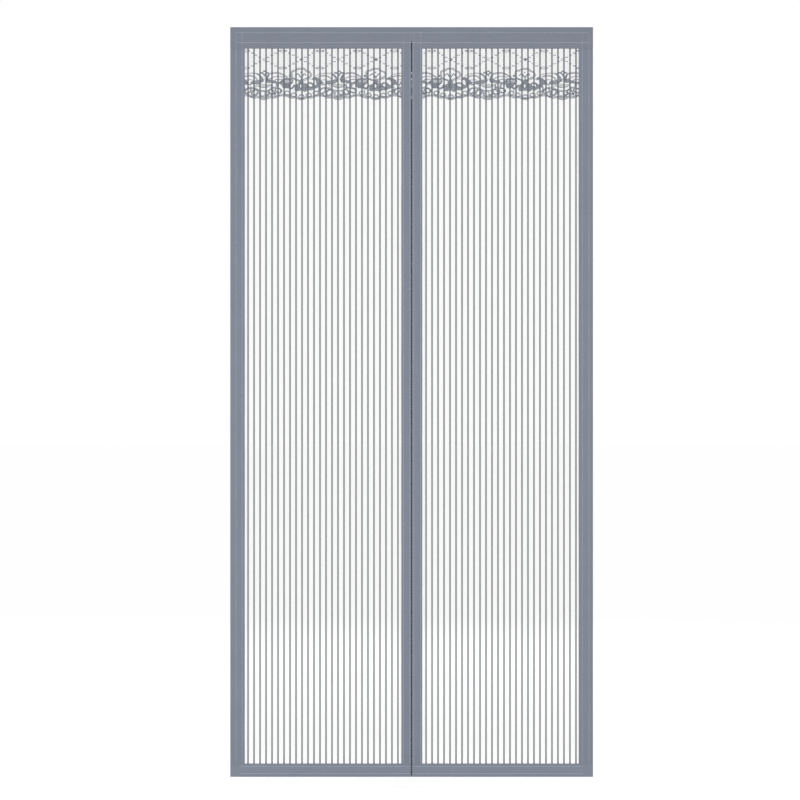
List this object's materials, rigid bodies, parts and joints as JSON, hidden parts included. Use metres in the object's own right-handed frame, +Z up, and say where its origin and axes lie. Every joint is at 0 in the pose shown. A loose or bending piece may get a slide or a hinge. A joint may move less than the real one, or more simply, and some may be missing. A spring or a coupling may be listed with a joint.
{
  "type": "magnetic insect screen",
  "caption": "Doorway insect screen: two striped net curtains under one header, bound in cloth, closed by magnets along a central slit, with a lace valance.",
  "frame": {"origin": "middle of the adhesive back face of the header's hook tape", "axes": "+Z up the door, +X to the right as seen from the front, +Y towards the door frame that the screen is stuck to"},
  "size_m": [1.016, 0.0077, 2.1],
  "materials": {
    "binding_cloth": "woven polyester tape, blue-grey, matt with a faint sheen",
    "striped_net": "polyester net with dense grey stripes and fine white threads between them",
    "lace": "knitted lace, blue-grey, matt",
    "magnet_rubber": "dark magnetic rubber, matt",
    "loop_tape": "brushed loop pile, blue-grey",
    "hook_tape": "nylon hook tape with an adhesive back, blue-grey",
    "weight_steel": "plain rolled steel"
  },
  "bodies": {
    "root": {"header_binding": "binding_cloth", "header_loop_tape": "loop_tape", "header_hook_tape": "hook_tape", "left_outer_binding": "binding_cloth", "left_inner_binding_front": "binding_cloth", "left_inner_binding_back": "binding_cloth", "left_hem_binding": "binding_cloth", "left_net_panel": "striped_net", "left_lace_valance": "lace", "left_magnet_strip_1": "magnet_rubber", "left_magnet_strip_2": "magnet_rubber", "left_magnet_strip_3": "magnet_rubber", "left_magnet_strip_4": "magnet_rubber", "left_magnet_strip_5": "magnet_rubber", "left_magnet_strip_6": "magnet_rubber", "left_magnet_strip_7": "magnet_rubber", "left_magnet_strip_8": "magnet_rubber", "left_hem_weight": "weight_steel", "left_loop_tape": "loop_tape", "left_hook_tape": "hook_tape", "right_outer_binding": "binding_cloth", "right_inner_binding_front": "binding_cloth", "right_inner_binding_back": "binding_cloth", "right_hem_binding": "binding_cloth", "right_net_panel": "striped_net", "right_lace_valance": "lace", "right_magnet_strip_1": "magnet_rubber", "right_magnet_strip_2": "magnet_rubber", "right_magnet_strip_3": "magnet_rubber", "right_magnet_strip_4": "magnet_rubber", "right_magnet_strip_5": "magnet_rubber", "right_magnet_strip_6": "magnet_rubber", "right_magnet_strip_7": "magnet_rubber", "right_magnet_strip_8": "magnet_rubber", "right_hem_weight": "weight_steel", "right_loop_tape": "loop_tape", "right_hook_tape": "hook_tape"}
  },
  "joints": []
}
